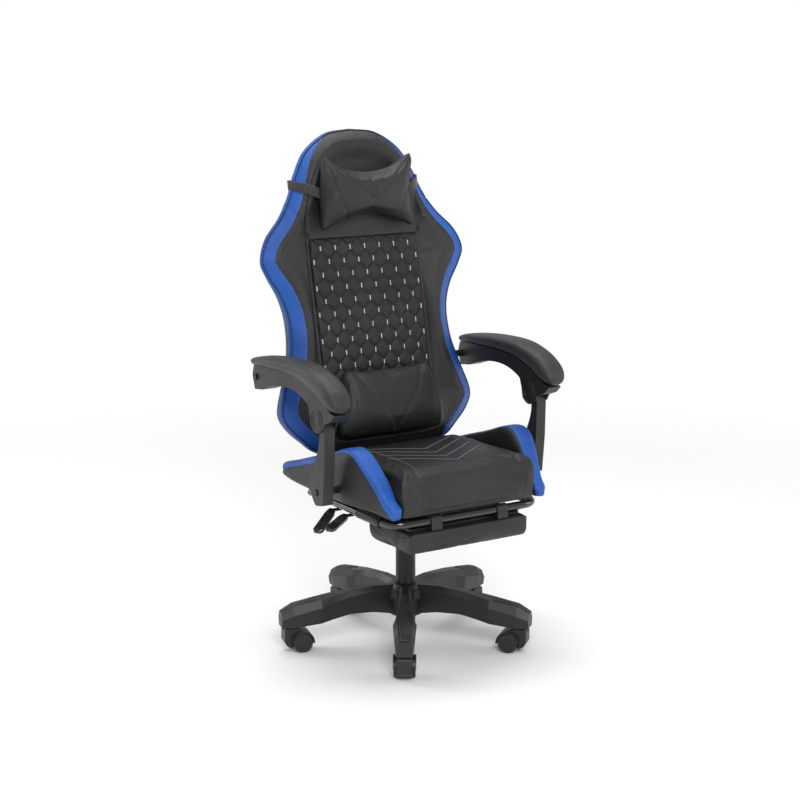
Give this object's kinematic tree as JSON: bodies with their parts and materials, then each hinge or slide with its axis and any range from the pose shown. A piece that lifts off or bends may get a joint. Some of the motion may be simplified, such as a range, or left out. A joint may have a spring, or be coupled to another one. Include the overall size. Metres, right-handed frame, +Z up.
{
  "type": "gaming chair",
  "caption": "High-back reclining chair on a castor base, with winged bolsters, head and lumbar pillows, linkage armrests and a slide-out footrest.",
  "frame": {"origin": "on the floor under the gas lift's axis", "axes": "+Z up along the gas lift; -Y is the front of the seat; +X is the sitter's left"},
  "size_m": [0.69, 0.6176, 1.2811],
  "materials": {
    "nylon_black": "fine moulded texture",
    "plastic_black": "satin moulded",
    "caster_wheel": "satin moulded",
    "steel_black": "black powder coat",
    "steel_gloss": "gloss black enamel",
    "steel_bare": "zinc plated",
    "board_wood": "bare plywood",
    "leather_black": "fine-grain synthetic leather on foam, satin",
    "leather_blue": "fine-grain synthetic leather on foam, satin, bright blue",
    "fabric_black": "quilted fabric",
    "elastic_black": "woven elastic"
  },
  "bodies": {
    "base": {"star_base": "nylon_black", "gas_lift_tube": "steel_black", "gas_lift_bush": "plastic_black"},
    "caster_1": {"caster_1_hood": "nylon_black", "caster_1_pins": "steel_bare"},
    "caster_1_wheel_left": {"caster_1_wheel_left": "caster_wheel"},
    "caster_1_wheel_right": {"caster_1_wheel_right": "caster_wheel"},
    "caster_2": {"caster_2_hood": "nylon_black", "caster_2_pins": "steel_bare"},
    "caster_2_wheel_left": {"caster_2_wheel_left": "caster_wheel"},
    "caster_2_wheel_right": {"caster_2_wheel_right": "caster_wheel"},
    "caster_3": {"caster_3_hood": "nylon_black", "caster_3_pins": "steel_bare"},
    "caster_3_wheel_left": {"caster_3_wheel_left": "caster_wheel"},
    "caster_3_wheel_right": {"caster_3_wheel_right": "caster_wheel"},
    "caster_4": {"caster_4_hood": "nylon_black", "caster_4_pins": "steel_bare"},
    "caster_4_wheel_left": {"caster_4_wheel_left": "caster_wheel"},
    "caster_4_wheel_right": {"caster_4_wheel_right": "caster_wheel"},
    "caster_5": {"caster_5_hood": "nylon_black", "caster_5_pins": "steel_bare"},
    "caster_5_wheel_left": {"caster_5_wheel_left": "caster_wheel"},
    "caster_5_wheel_right": {"caster_5_wheel_right": "caster_wheel"},
    "lift_rod": {"gas_lift_rod": "steel_bare", "thrust_bearing": "steel_bare"},
    "seat": {"gas_lift_cylinder": "steel_black", "seat_mechanism": "steel_black", "mechanism_bolts": "steel_bare", "seat_board": "board_wood", "seat_cushion": "leather_black", "seat_bolster_left": "leather_blue", "seat_bolster_right": "leather_blue", "recline_hinge_arms": "steel_black", "recline_hinge_pins": "steel_bare", "footrest_guides": "steel_black", "armrest_lower_bolts": "steel_bare"},
    "button": {"release_button": "plastic_black"},
    "height_lever": {"height_lever_rod": "steel_black", "height_lever_paddle": "plastic_black"},
    "recline_lever": {"recline_lever_rod": "steel_black", "recline_lever_paddle": "plastic_black"},
    "footrest_rail": {"footrest_tube": "steel_gloss"},
    "footrest": {"footrest_board": "board_wood", "footrest_pad": "leather_black"},
    "back": {"back_shell": "leather_black", "back_frame": "board_wood", "back_pad": "fabric_black", "back_bolster_left": "leather_blue", "back_bolster_right": "leather_blue", "back_hinge_plates": "steel_black", "head_pillow": "leather_black", "head_strap": "elastic_black", "lumbar_pillow": "leather_black", "armrest_rear_bolts": "steel_bare"},
    "upright_left": {"armrest_left_upright": "nylon_black"},
    "armrest_left": {"armrest_left_frame": "nylon_black", "armrest_left_pad": "leather_black"},
    "upright_right": {"armrest_right_upright": "nylon_black"},
    "armrest_right": {"armrest_right_frame": "nylon_black", "armrest_right_pad": "leather_black"}
  },
  "joints": [
    {"name": "caster_1_swivel", "type": "hinge", "parent": "base", "child": "caster_1", "pos_m": [-0.16383, -0.25132, 0.0615], "axis": [0, 0, 1], "continuous": true},
    {"name": "caster_1_left_spin", "type": "hinge", "parent": "caster_1", "child": "caster_1_wheel_left", "pos_m": [-0.15018, -0.23037, 0.025], "axis": [-0.8377, 0.5461, 0], "continuous": true},
    {"name": "caster_1_right_spin", "type": "hinge", "parent": "caster_1", "child": "caster_1_wheel_right", "pos_m": [-0.15018, -0.23037, 0.025], "axis": [-0.8377, 0.5461, 0], "continuous": true},
    {"name": "caster_2_swivel", "type": "hinge", "parent": "base", "child": "caster_2", "pos_m": [0.18839, -0.23347, 0.0615], "axis": [0, 0, 1], "continuous": true},
    {"name": "caster_2_left_spin", "type": "hinge", "parent": "caster_2", "child": "caster_2_wheel_left", "pos_m": [0.17269, -0.21402, 0.025], "axis": [-0.7782, -0.628, 0], "continuous": true},
    {"name": "caster_2_right_spin", "type": "hinge", "parent": "caster_2", "child": "caster_2_wheel_right", "pos_m": [0.17269, -0.21402, 0.025], "axis": [-0.7782, -0.628, 0], "continuous": true},
    {"name": "caster_3_swivel", "type": "hinge", "parent": "base", "child": "caster_3", "pos_m": [0.28026, 0.10702, 0.0615], "axis": [0, 0, 1], "continuous": true},
    {"name": "caster_3_left_spin", "type": "hinge", "parent": "caster_3", "child": "caster_3_wheel_left", "pos_m": [0.25691, 0.0981, 0.025], "axis": [0.3567, -0.9342, 0], "continuous": true},
    {"name": "caster_3_right_spin", "type": "hinge", "parent": "caster_3", "child": "caster_3_wheel_right", "pos_m": [0.25691, 0.0981, 0.025], "axis": [0.3567, -0.9342, 0], "continuous": true},
    {"name": "caster_4_swivel", "type": "hinge", "parent": "base", "child": "caster_4", "pos_m": [-0.01518, 0.29962, 0.0615], "axis": [0, 0, 1], "continuous": true},
    {"name": "caster_4_left_spin", "type": "hinge", "parent": "caster_4", "child": "caster_4_wheel_left", "pos_m": [-0.01391, 0.27465, 0.025], "axis": [0.9987, 0.0506, 0], "continuous": true},
    {"name": "caster_4_right_spin", "type": "hinge", "parent": "caster_4", "child": "caster_4_wheel_right", "pos_m": [-0.01391, 0.27465, 0.025], "axis": [0.9987, 0.0506, 0], "continuous": true},
    {"name": "caster_5_swivel", "type": "hinge", "parent": "base", "child": "caster_5", "pos_m": [-0.28964, 0.07815, 0.0615], "axis": [0, 0, 1], "continuous": true},
    {"name": "caster_5_left_spin", "type": "hinge", "parent": "caster_5", "child": "caster_5_wheel_left", "pos_m": [-0.2655, 0.07164, 0.025], "axis": [0.2605, 0.9655, 0], "continuous": true},
    {"name": "caster_5_right_spin", "type": "hinge", "parent": "caster_5", "child": "caster_5_wheel_right", "pos_m": [-0.2655, 0.07164, 0.025], "axis": [0.2605, 0.9655, 0], "continuous": true},
    {"name": "lift_swivel", "type": "hinge", "parent": "base", "child": "lift_rod", "pos_m": [0, 0, 0.048], "axis": [0, 0, 1], "continuous": true},
    {"name": "seat_height", "type": "slide", "parent": "lift_rod", "child": "seat", "axis": [0, 0, 1], "range_m": [-0.08, 0], "stiffness_N_per_m": 1000, "springref_m": 0.45},
    {"name": "button_press", "type": "slide", "parent": "seat", "child": "button", "axis": [0, 0, -1], "range_m": [0, 0.003]},
    {"name": "height_lever_lift", "type": "hinge", "parent": "seat", "child": "height_lever", "pos_m": [-0.052, 0.02, 0.364], "axis": [0, 1, 0], "range_deg": [0, 3.5], "stiffness_Nm_per_rad": 2, "springref_deg": -5.73},
    {"name": "recline_lever_lift", "type": "hinge", "parent": "seat", "child": "recline_lever", "pos_m": [-0.052, -0.043, 0.364], "axis": [0, 1, 0], "range_deg": [0, 3.5], "stiffness_Nm_per_rad": 2, "springref_deg": -5.73},
    {"name": "footrest_slide", "type": "slide", "parent": "seat", "child": "footrest_rail", "axis": [0, -1, 0], "range_m": [0, 0.22]},
    {"name": "footrest_flip", "type": "hinge", "parent": "footrest_rail", "child": "footrest", "pos_m": [0, -0.274, 0.392], "axis": [-1, 0, 0], "range_deg": [0, 180]},
    {"name": "recline", "type": "hinge", "parent": "seat", "child": "back", "pos_m": [0, 0.186, 0.51], "axis": [-1, 0, 0], "range_deg": [0, 45]},
    {"name": "upright_left_tilt", "type": "hinge", "parent": "seat", "child": "upright_left", "pos_m": [0.307, -0.11, 0.454], "axis": [-1, 0, 0], "range_deg": [0, 45]},
    {"name": "armrest_left_tilt", "type": "hinge", "parent": "upright_left", "child": "armrest_left", "pos_m": [0.307, -0.124, 0.631], "axis": [-1, 0, 0], "range_deg": [-45, 0]},
    {"name": "upright_right_tilt", "type": "hinge", "parent": "seat", "child": "upright_right", "pos_m": [-0.307, -0.11, 0.454], "axis": [-1, 0, 0], "range_deg": [0, 45]},
    {"name": "armrest_right_tilt", "type": "hinge", "parent": "upright_right", "child": "armrest_right", "pos_m": [-0.307, -0.124, 0.631], "axis": [-1, 0, 0], "range_deg": [-45, 0]}
  ],
  "couplings": [
    {"joint": "button_press", "follows": "height_lever_lift", "m_per_rad": 0.049111},
    {"joint": "footrest_flip", "follows": "footrest_slide", "rad_per_m": 14.28},
    {"joint": "upright_left_tilt", "follows": "recline", "ratio": 1},
    {"joint": "armrest_left_tilt", "follows": "recline", "ratio": -1},
    {"joint": "upright_right_tilt", "follows": "recline", "ratio": 1},
    {"joint": "armrest_right_tilt", "follows": "recline", "ratio": -1}
  ]
}
